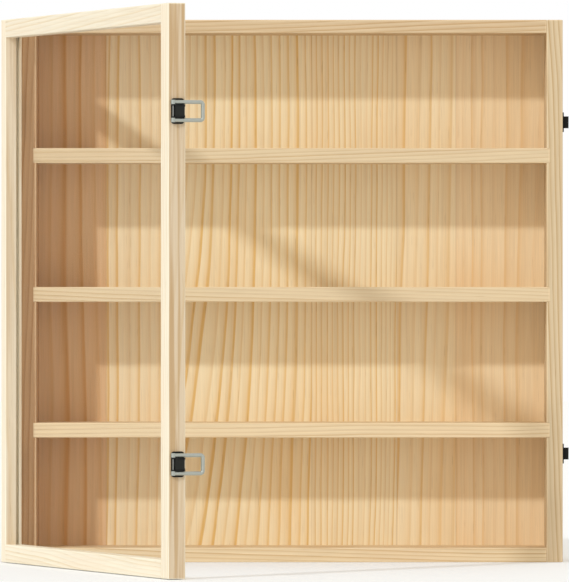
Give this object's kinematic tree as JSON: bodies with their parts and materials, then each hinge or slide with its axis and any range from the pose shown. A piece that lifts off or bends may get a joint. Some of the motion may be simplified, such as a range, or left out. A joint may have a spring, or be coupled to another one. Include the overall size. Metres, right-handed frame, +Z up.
{
  "type": "thimble display case",
  "caption": "Square pine display case with shelf tiers, a clear-paned door on side hinges, and lever latches with wire loops that hook over keepers.",
  "frame": {"origin": "centre of the case's underside, between its sides and between its front and rear edges", "axes": "+X to the viewer's right, -Y out of the open front, +Y towards the wall, +Z up"},
  "size_m": [0.366, 0.4051, 0.35],
  "materials": {
    "case_pine": "natural pine, smooth sanded, no varnish",
    "shelf_pine": "natural pine, smooth sanded",
    "back_pine": "edge-glued pine strips, smooth sanded",
    "door_pine": "pale natural pine, smooth sanded",
    "dowel_beech": "turned beech",
    "clear_pane": "clear, flat, polished",
    "black_metal": "black, satin",
    "black_screws": "black oxide",
    "steel_wire": "plain drawn wire, dull",
    "zinc_sheet": "zinc plated"
  },
  "bodies": {
    "case": {"left_side": "case_pine", "right_side": "case_pine", "top_board": "case_pine", "bottom_board": "case_pine", "upper_shelf": "shelf_pine", "middle_shelf": "shelf_pine", "lower_shelf": "shelf_pine", "back_panel": "back_pine", "corner_dowels": "dowel_beech", "upper_hinge_case_leaf": "black_metal", "lower_hinge_case_leaf": "black_metal", "hinge_case_screws": "black_screws", "hinge_pins": "black_metal", "upper_keeper": "black_metal", "lower_keeper": "black_metal", "keeper_screws": "black_screws", "left_hanger": "zinc_sheet", "right_hanger": "zinc_sheet", "hanger_screws": "zinc_sheet"},
    "door": {"hinge_stile": "door_pine", "latch_stile": "door_pine", "top_rail": "door_pine", "bottom_rail": "door_pine", "door_pane": "clear_pane", "upper_hinge_door_leaf": "black_metal", "lower_hinge_door_leaf": "black_metal", "hinge_door_screws": "black_screws", "upper_latch_base": "black_metal", "lower_latch_base": "black_metal", "latch_base_screws": "black_screws", "lever_pins": "steel_wire"},
    "upper_lever": {"upper_latch_lever": "black_metal"},
    "upper_pin": {"upper_loop_pin": "steel_wire"},
    "upper_wire": {"upper_loop": "steel_wire"},
    "lower_lever": {"lower_latch_lever": "black_metal"},
    "lower_pin": {"lower_loop_pin": "steel_wire"},
    "lower_wire": {"lower_loop": "steel_wire"}
  },
  "joints": [
    {"name": "door_hinge", "type": "hinge", "parent": "case", "child": "door", "pos_m": [-0.17715, -0.03275, 0.175], "axis": [0, 0, -1], "range_deg": [-71.3, 108.7]},
    {"name": "upper_lever_flip", "type": "hinge", "parent": "door", "child": "upper_lever", "pos_m": [-0.06559, -0.36888, 0.284], "axis": [0, 0, 1], "range_deg": [0, 100]},
    {"name": "upper_pin_turn", "type": "hinge", "parent": "upper_lever", "child": "upper_pin", "pos_m": [-0.07183, -0.3712, 0.284], "axis": [0, 0, 1], "range_deg": [-100, 0]},
    {"name": "upper_loop_swing", "type": "hinge", "parent": "upper_pin", "child": "upper_wire", "pos_m": [-0.07183, -0.3712, 0.284], "axis": [0, 0, -1], "range_deg": [0, 150]},
    {"name": "lower_lever_flip", "type": "hinge", "parent": "door", "child": "lower_lever", "pos_m": [-0.06559, -0.36888, 0.07], "axis": [0, 0, 1], "range_deg": [0, 100]},
    {"name": "lower_pin_turn", "type": "hinge", "parent": "lower_lever", "child": "lower_pin", "pos_m": [-0.07183, -0.3712, 0.07], "axis": [0, 0, 1], "range_deg": [-100, 0]},
    {"name": "lower_loop_swing", "type": "hinge", "parent": "lower_pin", "child": "lower_wire", "pos_m": [-0.07183, -0.3712, 0.07], "axis": [0, 0, -1], "range_deg": [0, 150]}
  ],
  "couplings": [
    {"joint": "upper_pin_turn", "follows": "upper_lever_flip", "ratio": -1},
    {"joint": "lower_pin_turn", "follows": "lower_lever_flip", "ratio": -1}
  ]
}
